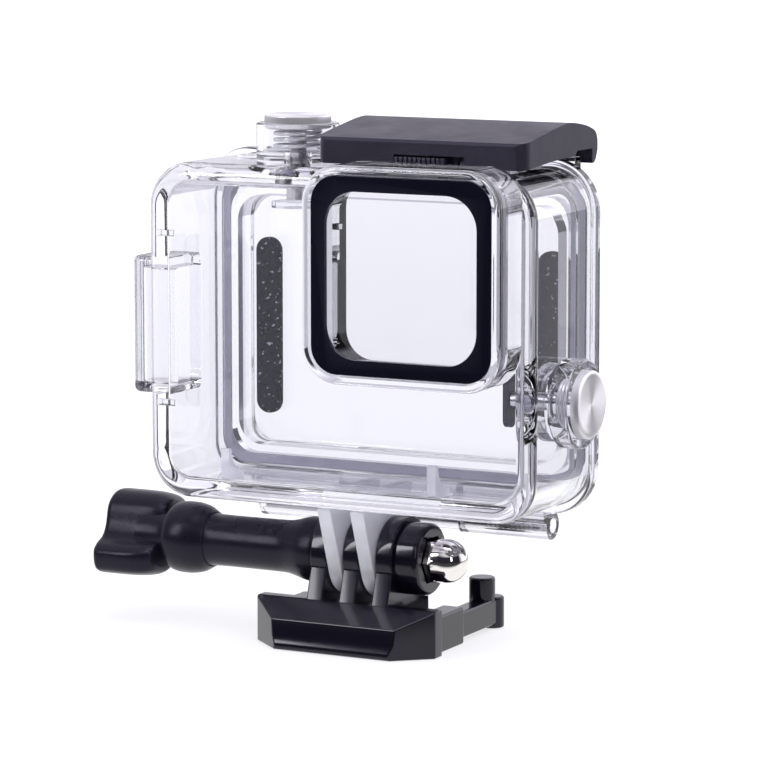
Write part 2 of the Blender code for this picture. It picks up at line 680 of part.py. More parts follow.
def wing_outline(steps=3):
    """The wing's S-shaped section: a concave thumb rest runs from the hub's top to the near tip, and back."""
    rest = [(0.3, 7.0), (-2.2, 5.2), (-3.3, 1.6), (-4.6, -0.4)]
    tip = [(-6.9, -1.6), (-7.9, -3.0), (-7.2, -5.8), (-3.6, -7.0)]
    points = rest + tip + [(-y, -h) for y, h in rest + tip]
    outline = []
    for i in range(len(points)):
        a, b, c, d = (Vector(points[(i + k) % len(points)]) for k in (-1, 0, 1, 2))
        for j in range(steps):
            t = j / steps
            bend = (2 * a - 5 * b + 4 * c - d) * t * t + (3 * b - a - 3 * c + d) * t ** 3
            outline.append(tuple((2 * b + (c - a) * t + bend) / 2))
    return outline


def build_thumb_screw(shop, parent):
    tail = -(FINGER_PITCH + FINGER_WIDTH / 2) - GAP
    shank = [(0, tail), (5.2, tail), (5.6, tail - 0.5), (5.6, tail - 3.2), (4.5, tail - 7.0), (4.5, -29.5)]
    collar = [(6.0, -32.5), (6.2, -34.0), (6.2, -36.5), (5.7, -38.0), (4.6, -38.6), (4.6, -44.0), (0, -44.0)]
    stem = shop.turned("thumb_knob", shank + collar, "X", (0, 0, PIVOT_Z))
    wing = shop.prism("wing", [at_pivot(wing_outline())], "X", WING_END_X, -39.2)
    shop.bevel(wing, 1.0, 2, 60)
    shop.join(stem, wing)
    shop.cut(stem, shop.cylinder("knob_bore", (0, PIVOT_Z), BOLT_R + 0.15, "X", -36.3, 0, 28))
    shop.finish(stem, "black", parent)
    bolt = shop.cylinder("screw_bolt", (0, PIVOT_Z), BOLT_R, "X", -36.0, BOLT_TIP_X, 28)
    shop.finish(bolt, "steel", parent)


def main():
    clear_scene()
    shop = Workshop()
    base = shop.pivot("buckle_frame", (0, 0, 0))
    screw = shop.pivot("screw_axis", (0, 0, PIVOT_Z), base)
    housing = shop.pivot("tilt_axis", (0, 0, PIVOT_Z), base)
    door = shop.pivot("door_axis", (0, HINGE_Y, PIVOT_Z + HINGE_H), housing)
    link = shop.pivot("link_axis", (0, LINK_PIVOT[0], PIVOT_Z + LINK_PIVOT[1]), housing)
    lever = shop.pivot("lever_axis", (0, LEVER_PIVOT[0], PIVOT_Z + LEVER_PIVOT[1]), link)
    lock = shop.pivot("lock_way", (LOCK_LEFT_X, LEVER_PIVOT[0], PIVOT_Z + LEVER_PIVOT[1]), lever)
    shutter_place = (SHUTTER_X, SHUTTER_Y, PIVOT_Z + BODY_TOP_H)
    mode_place = (BODY_HALF_WIDTH, MODE_Y, PIVOT_Z + MODE_H)
    shutter = shop.pivot("shutter_axis", shutter_place, housing)
    mode = shop.pivot("mode_axis", mode_place, housing)

    build_buckle(shop, base)
    build_nut(shop, base)
    build_thumb_screw(shop, screw)
    build_front_shell(shop, housing)
    build_window(shop, housing)
    build_hinge_pin(shop, housing)
    latch_pin(shop, "latch_hinge_pin", LINK_PIVOT, housing)
    build_door(shop, door)
    build_door_trim(shop, door)
    build_link(shop, link)
    build_lever(shop, lever)
    latch_pin(shop, "lever_pin", LEVER_PIVOT, lever)
    build_lock(shop, lock)
    upright = {
        "place": shutter_place,
        "turn": Matrix.Identity(4),
        "cap_top": SHUTTER_CAP_TOP_H - BODY_TOP_H,
        "seat": 1.8,
        "seal_low": -1.8,
        "reach": 3.6,
        "plate": circle((0, 0), 4.0, 24),
    }
    build_button(shop, "shutter", upright, shutter, housing)
    sideways = {
        "place": mode_place,
        "turn": Matrix.Rotation(pi / 2, 4, "Y"),
        "cap_top": MODE_CAP_FACE_X - BODY_HALF_WIDTH,
        "seat": -0.3,
        "seal_low": -2.2,
        "reach": 6.2,
        "plate": rounded_rect((-4.6, -1.6), (4.6, 1.6), 1.5, 5),
    }
    build_button(shop, "mode", sideways, mode, housing)


main()
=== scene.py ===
"""Looks of the clear action camera housing: fine surfaces, materials, studio and camera.

Lengths are in millimetres and become metres when a mesh is made. X points right, Y back and Z up.
"""

from math import cos, pi, radians, sin, tan

import bmesh
import bpy
from mathutils import Matrix, Vector


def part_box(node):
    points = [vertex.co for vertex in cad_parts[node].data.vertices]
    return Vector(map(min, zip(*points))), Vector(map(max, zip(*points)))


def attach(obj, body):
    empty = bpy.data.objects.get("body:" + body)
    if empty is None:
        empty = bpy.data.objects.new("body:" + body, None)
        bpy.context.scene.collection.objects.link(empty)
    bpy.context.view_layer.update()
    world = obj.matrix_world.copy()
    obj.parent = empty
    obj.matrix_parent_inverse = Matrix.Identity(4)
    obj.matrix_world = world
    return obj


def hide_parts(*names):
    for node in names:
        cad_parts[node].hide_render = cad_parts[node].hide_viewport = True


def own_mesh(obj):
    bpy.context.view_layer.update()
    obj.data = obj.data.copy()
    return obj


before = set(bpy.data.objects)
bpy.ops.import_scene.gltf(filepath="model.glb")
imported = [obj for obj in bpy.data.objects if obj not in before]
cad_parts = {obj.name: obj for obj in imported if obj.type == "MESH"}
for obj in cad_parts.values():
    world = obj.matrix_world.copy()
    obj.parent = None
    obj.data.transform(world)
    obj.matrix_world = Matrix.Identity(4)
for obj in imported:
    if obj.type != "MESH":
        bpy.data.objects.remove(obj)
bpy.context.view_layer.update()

MM = 0.001
GAP = 0.3


class Extent:
    """A CAD node's box, in millimetres."""

    def __init__(self, node):
        low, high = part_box(node)
        self.low = low / MM
        self.high = high / MM
        self.mid = (self.low + self.high) / 2
        self.size = self.high - self.low


NUT = Extent("acorn_nut")
BUCKLE = Extent("buckle")
KNOB = Extent("thumb_knob")
SEAL = Extent("door_gasket")
DOOR = Extent("door_shell")
BEZEL = Extent("lens_frame")
PANE = Extent("lens_window")
PANE_SEAL = Extent("lens_seal")
LEVER = Extent("latch_lever")
LOCK = Extent("lock_slider")
LINK = Extent("latch_link")
HINGE = Extent("hinge_pin")
SHELL = Extent("front_shell")
BUTTONS = {name: Extent(name + "_cap") for name in ("shutter", "mode")}
SPRINGS = {name: Extent(name + "_spring") for name in ("shutter", "mode")}

PIVOT_Z = NUT.mid.z

# Housing walls, round the door seal that fills the cavity's mouth
WALL = 3.0
CAVITY_R = 4.5
CAVITY_LOW = (SEAL.low.x - GAP, SEAL.low.z - GAP)
CAVITY_HIGH = (SEAL.high.x + GAP, SEAL.high.z + GAP)
BODY_LOW = (CAVITY_LOW[0] - WALL, CAVITY_LOW[1] - WALL)
BODY_HIGH = (CAVITY_HIGH[0] + WALL, CAVITY_HIGH[1] + WALL)
BODY_R = 7.5
BODY_FRONT_Y = -12.6
FLANGE_MARGIN = 0.9
FLANGE_FRONT_Y = 10.0
FLANGE_BACK_Y = 12.4
TUBE_MARGIN = 1.65
TUBE_FRONT_Y = BEZEL.low.y - 0.4
SEAT_Y = PANE_SEAL.high.y + 0.15
BORE = 30.2
APERTURE = 27.7
BEZEL_R = 4.7
BUMP_Y = (-8.0, 4.0)
BUMP_Z = (PIVOT_Z + 26.2, PIVOT_Z + 49.9)
BUMP_WALL = 1.8

# Ribs under the camera and slots in the front left corner, by their height over the pivot
REST_SPANS = ((-22.9, -21.2), (16.3, 18.0))
REST_TOP = 18.1
REST_DEPTH = 5.3
REST_CURVE_R = 4.4
SLOT_HEIGHTS = (54.0, 24.9)

# Back door, its hinge and the latch
LIP_DEPTH = 1.0
LIP_SPAN = (-3.4, 31.4)
HINGE_R = 2.5
DOOR_KNUCKLE = (-11.5, 11.2)
LATCH_EARS = ((LINK.low.x - GAP - 2.5, LINK.low.x - GAP), (LINK.high.x + GAP, LINK.high.x + GAP + 2.5))
EAR_R = 1.5
PIN_WAY_R = 0.83
COVER_WALL = 1.5

# Buttons
GLAND_DEPTHS = {"shutter": 2.0, "mode": 2.4}
INNER_BOSS_R = 6.6
INNER_BOSS_DEPTH = 2.8
CLIP_POCKET_R = 3.5

# Mount
FINGER_PITCH = 6.2
FINGER_WIDTH = 3.1
CLEAR_FINGER_WIDTH = 2.6
FINGER_R = 7.1
FINGER_LEAN = 20
BOLT_WAY_R = 2.8
BOLT_BORE_R = 2.65
NUT_BOSS_R = 6.2
NUT_BOSS_END_X = 12.0


# Outlines: closed lists of (u, v) points, counter-clockwise

def arc(centre, radius, start, end, steps):
    angles = [radians(start + (end - start) * i / steps) for i in range(steps + 1)]
    return [(centre[0] + radius * cos(a), centre[1] + radius * sin(a)) for a in angles]


def circle(centre, radius, steps=64):
    return arc(centre, radius, 0, 360 * (steps - 1) / steps, steps - 1)


def rounded_rect(low, high, radius, steps=12):
    (u0, v0), (u1, v1) = low, high
    radius = max(radius, 0.02)
    corners = (
        (u1 - radius, v1 - radius, 0),
        (u0 + radius, v1 - radius, 90),
        (u0 + radius, v0 + radius, 180),
        (u1 - radius, v0 + radius, 270),
    )
    points = []
    for u, v, turn in corners:
        points += arc((u, v), radius, turn, turn + 90, steps)
    return points


def at_pivot(points):
    return [(u, v + PIVOT_Z) for u, v in points]


def smooth_line(points, steps=6):
    """A Catmull-Rom curve through the points."""
    ends = [points[0]] + list(points) + [points[-1]]
    line = []
    for p0, p1, p2, p3 in zip(ends, ends[1:], ends[2:], ends[3:]):
        for i in range(steps):
            t = i / steps
            line.append(tuple(
                0.5 * (2 * b + (c - a) * t + (2 * a - 5 * b + 4 * c - d) * t * t
                       + (3 * b - a - 3 * c + d) * t ** 3)
                for a, b, c, d in zip(p0, p1, p2, p3)
            ))
    return line + [points[-1]]


def edge_profile(start, end, start_edge=0.0, end_edge=0.0, steps=6):
    """(position, inset) pairs of a straight solid whose two ends are rounded over."""
    def quarter(edge):
        if edge <= 0:
            return [(0.0, 0.0)]
        angles = [pi / 2 * i / steps for i in range(steps + 1)]
        return [(edge * (1 - cos(a)), edge * (1 - sin(a))) for a in angles]
    first = [(start + along, inset) for along, inset in quarter(start_edge)]
    last = [(end - along, inset) for along, inset in quarter(end_edge)]
    return first + last[::-1]


# Meshes

def place(axis, u, v, along):
    if axis == "X":
        return (along, u, v)
    if axis == "Y":
        return (u, along, v)
    return (u, v, along)


def loft(name, loops, ring=False):
    """A closed solid through loops of 3D points: capped at both ends, or, as a ring, joined last to first."""
    shape = bmesh.new()
    rows = [[shape.verts.new(Vector(p) * MM) for p in loop] for loop in loops]
    pairs = list(zip(rows, rows[1:]))
    if ring:
        pairs.append((rows[-1], rows[0]))
    for low, high in pairs:
        for i in range(len(low)):
            j = (i + 1) % len(low)
            shape.faces.new((low[i], low[j], high[j], high[i]))
    if not ring:
        shape.faces.new(rows[0][::-1])
        shape.faces.new(rows[-1])
    bmesh.ops.recalc_face_normals(shape, faces=shape.faces)
    if shape.calc_volume(signed=True) < 0:
        bmesh.ops.reverse_faces(shape, faces=shape.faces)
    mesh = bpy.data.meshes.new(name)
    shape.to_mesh(mesh)
    shape.free()
    obj = bpy.data.objects.new(name, mesh)
    bpy.context.scene.collection.objects.link(obj)
    return obj


def prism(name, outline, axis, start, end):
    return loft(name, [[place(axis, u, v, along) for u, v in outline] for along in (start, end)])


def rect_solid(name, axis, low, high, radius, start, end, start_edge=0.0, end_edge=0.0, steps=12):
    """A rounded-rectangle block whose end edges are rounded over."""
    loops = []
    for along, inset in edge_profile(start, end, start_edge, end_edge):
        outline = rounded_rect((low[0] + inset, low[1] + inset), (high[0] - inset, high[1] - inset),
                               radius - inset, steps)
        loops.append([place(axis, u, v, along) for u, v in outline])
    return loft(name, loops)


def turned(name, axis, centre, profile, steps=64):
    """A turned solid from (radius, position) pairs; its flat ends are capped."""
    return loft(name, [[place(axis, u, v, along) for u, v in circle(centre, radius, steps)]
                       for radius, along in profile])


def rod(name, axis, centre, radius, start, end, start_edge=0.0, end_edge=0.0, steps=64):
    profile = [(radius - inset, along) for along, inset in edge_profile(start, end, start_edge, end_edge, 4)]
    return turned(name, axis, centre, profile, steps)


def rect_ring(name, low, high, radius, section, steps=14):
    """A ring in the XZ plane; section is a closed list of (inset from the outer outline, Y)."""
    loops = []
    for inset, along in section:
        outline = rounded_rect((low[0] + inset, low[1] + inset), (high[0] - inset, high[1] - inset),
                               radius - inset, steps)
        loops.append([place("Y", u, v, along) for u, v in outline])
    return loft(name, loops, ring=True)


def bake(obj):
    """Makes the evaluated mesh the object's own."""
    graph = bpy.context.evaluated_depsgraph_get()
    mesh = bpy.data.meshes.new_from_object(obj.evaluated_get(graph))
    old = obj.data
    obj.modifiers.clear()
    obj.data = mesh
    bpy.data.meshes.remove(old)
    return obj


def combine(obj, others, operation):
    for other in others:
        modifier = obj.modifiers.new("join", "BOOLEAN")
        modifier.operation = operation
        modifier.solver = "EXACT"
        modifier.object = other
        bake(obj)
        bpy.data.objects.remove(other, do_unlink=True)
    return obj


def join(obj, *others):
    return combine(obj, others, "UNION")


def cut(obj, *others):
    return combine(obj, others, "DIFFERENCE")


def common(obj, other):
    return combine(obj, [other], "INTERSECT")


def bevel(obj, width, segments=3, angle=40):
    modifier = obj.modifiers.new("rounded edges", "BEVEL")
    modifier.width = width * MM
    modifier.segments = segments
    modifier.limit_method = "ANGLE"
    modifier.angle_limit = radians(angle)
    return bake(obj)


def finish(obj, material, body, nodes, sharp=32):
    """Shades a piece, gives it its material and puts it on its body in place of CAD nodes."""
    obj.data.materials.clear()
    obj.data.materials.append(material)
    obj.data.shade_smooth()
    obj.data.set_sharp_from_angle(angle=radians(sharp))
    weighted = obj.modifiers.new("flat faces first", "WEIGHTED_NORMAL")
    weighted.keep_sharp = True
    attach(obj, body)
    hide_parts(*nodes)
    return obj


# Materials

class Tree:
    """A node tree with short calls to grow it."""

    def __init__(self, tree):
        self.tree = tree

    def node(self, kind, inputs=None, **settings):
        made = self.tree.nodes.new("ShaderNode" + kind)
        for key, value in settings.items():
            setattr(made, key, value)
        for key, value in (inputs or {}).items():
            if isinstance(value, bpy.types.NodeSocket):
                self.tree.links.new(value, made.inputs[key])
            else:
                made.inputs[key].default_value = value
        return made

    def link(self, source, target):
        self.tree.links.new(source, target)

    def noise(self, scale, detail=2.0, roughness=0.5, stretch=(1, 1, 1)):
        where = self.node("TexCoord").outputs["Object"]
        mapped = self.node("Mapping", {"Vector": where, "Scale": stretch}).outputs["Vector"]
        inputs = {"Vector": mapped, "Scale": scale, "Detail": detail, "Roughness": roughness}
        return self.node("TexNoise", inputs).outputs["Fac"]

    def spread(self, value, low, high, new_low, new_high):
        inputs = {"Value": value, "From Min": low, "From Max": high, "To Min": new_low, "To Max": new_high}
        return self.node("MapRange", inputs).outputs["Result"]

    def blend(self, factor, first, second):
        made = self.node("Mix", data_type="RGBA")
        self.tree.links.new(factor, made.inputs[0])
        for socket, value in ((made.inputs[6], first), (made.inputs[7], second)):
            if isinstance(value, bpy.types.NodeSocket):
                self.tree.links.new(value, socket)
            else:
                socket.default_value = (*value, 1.0)
        return made.outputs[2]

    def maths(self, operation, first, second=0.5):
        return self.node("Math", {0: first, 1: second}, operation=operation).outputs[0]

    def bump(self, height, strength, distance):
        inputs = {"Height": height, "Strength": strength, "Distance": distance * MM}
        return self.node("Bump", inputs).outputs["Normal"]


def new_material(name):
    material = bpy.data.materials.new(name)
    material.use_nodes = True
    return material, Tree(material.node_tree), material.node_tree.nodes["Principled BSDF"]


def clear_material(name, tint, roughness, ripple, clarity=1.0):
    """Refracting plastic that lets light through to what it covers."""
    material, tree, shader = new_material(name)
    shader.inputs["Transmission Weight"].default_value = clarity
    shader.inputs["IOR"].default_value = 1.49
    shader.inputs["Base Color"].default_value = (*tint, 1.0)
    haze = tree.spread(tree.noise(260, 4), 0.35, 0.7, roughness * 0.4, roughness * 1.8)
    tree.link(haze, shader.inputs["Roughness"])
    tree.link(tree.bump(tree.noise(70, 1), ripple, 0.4), shader.inputs["Normal"])
    through = tree.node("BsdfTransparent", {"Color": (*[c * 0.97 for c in tint], 1.0)}).outputs[0]
    shadow = tree.node("LightPath").outputs["Is Shadow Ray"]
    mixed = tree.node("MixShader", {0: shadow, 1: shader.outputs[0], 2: through}).outputs[0]
    tree.link(mixed, tree.tree.nodes["Material Output"].inputs["Surface"])
    return material


def plastic(name, colour, roughness, grain_scale, grain_depth, shine, fleck=0.0, coat=0.0):
    """Moulded opaque plastic: fine grain, mottled gloss, and convex edges painted a little lighter, partly as
    rubbed wear and partly as a painted edge highlight.
    """
    material, tree, shader = new_material(name)
    mottle = tree.noise(150, 5, 0.6)
    # Convex edges are painted lighter: partly rubbed wear, partly a painted edge highlight.
    edge_wear_and_highlight = tree.spread(tree.node("NewGeometry").outputs["Pointiness"], 0.52, 0.6, 0.0, 0.35)
    lighter = tuple(c * 2.5 + 0.02 for c in colour)
    mixed = tree.blend(edge_wear_and_highlight, colour, lighter)
    if fleck:
        dots = tree.spread(tree.noise(grain_scale * 0.9, 1), 0.7, 0.76, 0.0, fleck)
        mixed = tree.blend(dots, mixed, tuple(c + 0.12 for c in colour))
    tree.link(mixed, shader.inputs["Base Color"])
    tree.link(tree.spread(mottle, 0.3, 0.7, roughness * 0.85, roughness * 1.2), shader.inputs["Roughness"])
    tree.link(tree.bump(tree.noise(grain_scale, 3), 0.5, grain_depth), shader.inputs["Normal"])
    shader.inputs["Specular IOR Level"].default_value = shine
    shader.inputs["Specular Tint"].default_value = (0.84, 0.8, 1.0, 1.0)
    shader.inputs["Coat Weight"].default_value = coat
    shader.inputs["Coat Roughness"].default_value = 0.08
    return material


def metal(name, colour, roughness, scratch_scale, stretch, depth, metallic=1.0):
    """Metal with drawn scratches along the axis that the stretch leaves short."""
    material, tree, shader = new_material(name)
    shader.inputs["Metallic"].default_value = metallic
    scratch = tree.noise(scratch_scale, 3, 0.6, stretch)
    tree.link(tree.blend(scratch, tuple(c * 0.86 for c in colour), colour), shader.inputs["Base Color"])
    tree.link(tree.spread(scratch, 0.3, 0.7, roughness * 0.7, roughness * 1.3), shader.inputs["Roughness"])
    tree.link(tree.bump(scratch, 0.4, depth), shader.inputs["Normal"])
    return material


def turned_metal(name, colour, axis, centre):
    """A lathe-turned disc: fine rings, and a sheen that fans out from its centre."""
    material, tree, shader = new_material(name)
    shader.inputs["Metallic"].default_value = 0.8
    where = tree.node("TexCoord").outputs["Object"]
    centred = tree.node("VectorMath", {0: where, 1: Vector(centre) * MM}, operation="SUBTRACT").outputs[0]
    flat = (0, 1, 1) if axis == "X" else (1, 1, 0)
    across = tree.node("VectorMath", {0: centred, 1: flat}, operation="MULTIPLY").outputs[0]
    radius = tree.node("VectorMath", {0: across}, operation="LENGTH").outputs["Value"]
    rings = tree.node("TexNoise", {"W": tree.maths("MULTIPLY", radius, 9000), "Scale": 1.0, "Detail": 3.0},
                      noise_dimensions="1D").outputs["Fac"]
    tree.link(tree.blend(rings, tuple(c * 0.82 for c in colour), colour), shader.inputs["Base Color"])
    tree.link(tree.spread(rings, 0.3, 0.7, 0.3, 0.42), shader.inputs["Roughness"])
    tree.link(tree.bump(rings, 0.25, 0.02), shader.inputs["Normal"])
    shader.inputs["Anisotropic"].default_value = 0.9
    tangent = tree.node("VectorMath", {0: across, 1: (1, 0, 0) if axis == "X" else (0, 0, 1)},
                        operation="CROSS_PRODUCT").outputs[0]
    tangent = tree.node("VectorMath", {0: tangent}, operation="NORMALIZE").outputs[0]
    tree.link(tangent, shader.inputs["Tangent"])
    return material


def foam(name):
    material, tree, shader = new_material(name)
    grain = tree.noise(1800, 4, 0.7)
    spots = tree.spread(tree.noise(1500, 1), 0.66, 0.71, 0.0, 0.9)
    base = tree.blend(grain, (0.001, 0.001, 0.004), (0.024, 0.023, 0.042))
    tree.link(tree.blend(spots, base, (0.42, 0.42, 0.5)), shader.inputs["Base Color"])
    shader.inputs["Roughness"].default_value = 0.9
    shader.inputs["Specular IOR Level"].default_value = 0.2
    shader.inputs["Sheen Weight"].default_value = 0.05
    tree.link(tree.bump(grain, 0.8, 0.12), shader.inputs["Normal"])
    return material


def rubber(name, colour):
    material, tree, shader = new_material(name)
    grain = tree.noise(900, 4, 0.6)
    tree.link(tree.blend(grain, tuple(c * 0.8 for c in colour), tuple(c * 1.15 for c in colour)),
              shader.inputs["Base Color"])
    tree.link(tree.spread(grain, 0.3, 0.7, 0.42, 0.6), shader.inputs["Roughness"])
    tree.link(tree.bump(grain, 0.4, 0.05), shader.inputs["Normal"])
    return material


CLEAR = clear_material("clear_polycarbonate", (0.9, 0.9, 0.925), 0.012, 0.02)
GLASS = clear_material("window_glass", (0.8, 0.8, 0.83), 0.004, 0.0)
SATIN = plastic("satin_black_plastic", (0.012, 0.0105, 0.02), 0.38, 3600, 0.05, 0.38, fleck=0.3)
GLOSS = plastic("gloss_black_plastic", (0.005, 0.0042, 0.009), 0.16, 700, 0.012, 0.2, coat=0.4)
GRIP = plastic("matt_black_plastic", (0.0075, 0.0065, 0.013), 0.27, 3200, 0.03, 0.25)
INK = plastic("black_bezel", (0.004, 0.0045, 0.011), 0.16, 2600, 0.004, 0.3, fleck=0.08)
STEEL = metal("brushed_steel", (0.62, 0.61, 0.64), 0.24, 900, (0.1, 1, 1), 0.02)
WIRE = metal("spring_wire", (0.85, 0.84, 0.88), 0.2, 600, (1, 1, 1), 0.01, 0.6)
CHROME = metal("polished_chrome", (0.9, 0.87, 0.85), 0.06, 500, (1, 1, 1), 0.004)
RUBBER = rubber("grey_seal_rubber", (0.4, 0.39, 0.48))
FOAM = foam("dark_foam")
HAZE = clear_material("hazy_polycarbonate", (0.96, 0.96, 1.0), 0.06, 0.04, 0.6)
DISCS = {
    name: turned_metal(name + "_disc_steel", (0.93, 0.915, 0.95), axis, BUTTONS[name].mid)
    for name, axis in (("shutter", "Z"), ("mode", "X"))
}


# Clear shell

def finger_outline():
    """A tongue round the pivot whose front and back lean apart up to the housing's floor."""
    edge = FINGER_R / cos(radians(FINGER_LEAN))
    top = BODY_LOW[1] - PIVOT_Z - 0.02
    spread = top * tan(radians(FINGER_LEAN))
    tip = arc((0, 0), FINGER_R, 180 + FINGER_LEAN, 360 - FINGER_LEAN, 32)
    return at_pivot(tip + [(edge + spread - 2.0, top), (-edge - spread, top)])


def knuckle(name, start, end, foot):
    centre = (HINGE.mid.y, HINGE.mid.z)
    barrel = rod(name, "X", centre, HINGE_R, start, end, 0.15, 0.15, 48)
    top = BODY_LOW[1] + 0.6
    outline = [(foot[0], top), (foot[0], centre[1] + 1.2), (foot[1], centre[1]), (foot[1], top)]
    return join(barrel, prism("foot", outline[::-1], "X", start, end))


def hinge_way():
    return rod("way", "X", (HINGE.mid.y, HINGE.mid.z), HINGE.size.z / 2 + 0.08, -40, 40, steps=32)


def cap_radius(name):
    return BUTTONS[name].size.y / 2


def button_ways(name):
    """The cap's bore, the shaft's hole and the seal's gland, as cutters."""
    cap, spring = BUTTONS[name], SPRINGS[name]
    if name == "shutter":
        axis, centre, seat, wall = "Z", (cap.mid.x, cap.mid.y), spring.low.z - 0.15, BODY_HIGH[1]
    else:
        axis, centre, seat, wall = "X", (cap.mid.y, cap.mid.z), spring.low.x - 0.15, BODY_HIGH[0]
    depth = GLAND_DEPTHS[name]
    return (
        rod("bore", axis, centre, cap_radius(name) + 0.35, seat, seat + 20),
        rod("hole", axis, centre, 1.6, wall - 5, wall + 5, steps=32),
        rod("gland", axis, centre, 2.9, wall - depth, wall - depth + 1.5, steps=32),
    )


def grow(low, high, margin):
    return (low[0] - margin, low[1] - margin), (high[0] + margin, high[1] + margin)


def build_shell():
    shell = rect_solid("housing_shell", "Y", BODY_LOW, BODY_HIGH, BODY_R, BODY_FRONT_Y, FLANGE_FRONT_Y + 1,
                       2.4, 0)
    bezel_low, bezel_high = (BEZEL.low.x, BEZEL.low.z), (BEZEL.high.x, BEZEL.high.z)
    bezel_mid = (BEZEL.mid.x, BEZEL.mid.z)
    tube = rect_solid("tube", "Y", *grow(bezel_low, bezel_high, TUBE_MARGIN), 6.4,
                      TUBE_FRONT_Y, BODY_FRONT_Y + 1.5, 0.9, 0)
    flange_low, flange_high = grow(BODY_LOW, BODY_HIGH, FLANGE_MARGIN)
    flange_low = (flange_low[0], flange_low[1] - 0.7)
    flange_high = (flange_high[0], flange_high[1] + 0.2)
    flange = rect_solid("flange", "Y", flange_low, flange_high, 8.4, FLANGE_FRONT_Y, FLANGE_BACK_Y, 0.6, 0.3)
    bump = rect_solid("bump", "Z", (SHELL.low.x, BUMP_Y[0]), (-34.5, BUMP_Y[1]), 2.0, *BUMP_Z, 1.0, 1.0)
    shutter, mode = BUTTONS["shutter"], BUTTONS["mode"]
    collar_top = SHELL.high.z
    shutter_collar = rod("collar", "Z", (shutter.mid.x, shutter.mid.y), cap_radius("shutter") + 1.4,
                         BODY_HIGH[1] - 1, collar_top, 0, 0.35)
    mode_collar = rod("collar", "X", (mode.mid.y, mode.mid.z), cap_radius("mode") + 1.8,
                      BODY_HIGH[0] - 1, SHELL.high.x, 0, 0.45)
    join(shell, tube, bump, flange, shutter_collar, mode_collar)
    cut(
        shell,
        rect_solid("cavity", "Y", CAVITY_LOW, CAVITY_HIGH, CAVITY_R, BODY_FRONT_Y + WALL - 0.2, 30, 0.8, 0),
        rect_solid("pocket", "Z", (SHELL.low.x + BUMP_WALL, BUMP_Y[0] + BUMP_WALL),
                   (-32.0, BUMP_Y[1] - BUMP_WALL), 1.2,
                   BUMP_Z[0] + BUMP_WALL, BUMP_Z[1] - BUMP_WALL, 0.4, 0.4),
        rect_solid("seat", "Y", *grow(bezel_low, bezel_high, GAP), 5.0, TUBE_FRONT_Y - 1, SEAT_Y),
        rect_solid("bore", "Y", *grow(bezel_mid, bezel_mid, BORE / 2), 5.0, TUBE_FRONT_Y,
                   BODY_FRONT_Y + WALL + 0.4),
    )
    inside = CAVITY_HIGH[0]
    mode_centre = (mode.mid.y, mode.mid.z)
    boss_end = inside - INNER_BOSS_DEPTH
    join(shell, rod("inner_boss", "X", mode_centre, INNER_BOSS_R, boss_end, inside + 0.5, 0.5, 0))
    clip_pocket = rod("clip_pocket", "X", mode_centre, CLIP_POCKET_R, inside - 4, inside, 0, 0.3)
    cut(shell, clip_pocket, *button_ways("shutter"), *button_ways("mode"))
    build_inner_ribs(shell)
    build_mount_fingers()
    foot = (FLANGE_FRONT_Y + 0.2, FLANGE_BACK_Y - 0.1)
    join(
        shell,
        knuckle("knuckle", HINGE.low.x - 1, DOOR_KNUCKLE[0] - GAP, foot),
        knuckle("knuckle", DOOR_KNUCKLE[1] + GAP, HINGE.high.x + 1, foot),
    )
    cut(shell, hinge_way())
    add_latch_ears(shell)
    return finish(shell, CLEAR, "housing", ["front_shell"])


def build_inner_ribs(shell):
    """Two hazy gussets that keep the camera off the floor, and two slots in the front left corner."""
    wall = BODY_FRONT_Y + WALL - 0.2
    front = wall + 0.05
    floor = BODY_LOW[1] - PIVOT_Z + WALL + 0.05
    back = front + REST_DEPTH
    hollow = arc((back, REST_TOP), REST_CURVE_R, 180, 270, 12)
    sole = [(back, floor), (front + 0.8, floor), (front, floor + 0.8), (front, REST_TOP)]
    ribs, other = [prism("camera_rests", at_pivot(hollow + sole), "X", *span) for span in REST_SPANS]
    join(ribs, other)
    finish(bevel(ribs, 0.15, 2), HAZE, "housing", [])
    for height in SLOT_HEIGHTS:
        cut(shell, rect_solid("slot", "Z", (-34.8, wall - 1.2), (-31.4, wall + 0.5), 0.2,
                              PIVOT_Z + height, PIVOT_Z + height + 1.0, 0, 0, 3))


def build_mount_fingers():
    """The two tongues under the floor, hazy from the thickness of the moulding."""
    way = rod("way", "X", (0, PIVOT_Z), BOLT_WAY_R, -8, 8, steps=48)
    fingers = None
    for sign in (-1, 1):
        middle = sign * FINGER_PITCH / 2
        start, end = middle - CLEAR_FINGER_WIDTH / 2, middle + CLEAR_FINGER_WIDTH / 2
        finger = bevel(prism("mount_fingers", finger_outline(), "X", start, end), 0.3, 2)
        fingers = join(fingers, finger) if fingers else finger
    finish(cut(fingers, way), HAZE, "housing", [])


def add_latch_ears(shell):
    y, z = LINK.high.y - EAR_R, LINK.mid.z
    top = BODY_HIGH[1] - 1
    outline = arc((y, z), EAR_R, 0, 180, 16) + [(y - 2.4, top), (y + 2.4, top)]
    for start, end in LATCH_EARS:
        join(shell, prism("ear", outline, "X", start, end))
    cut(shell, rod("way", "X", (y, z), PIN_WAY_R, -3, 30, steps=24))


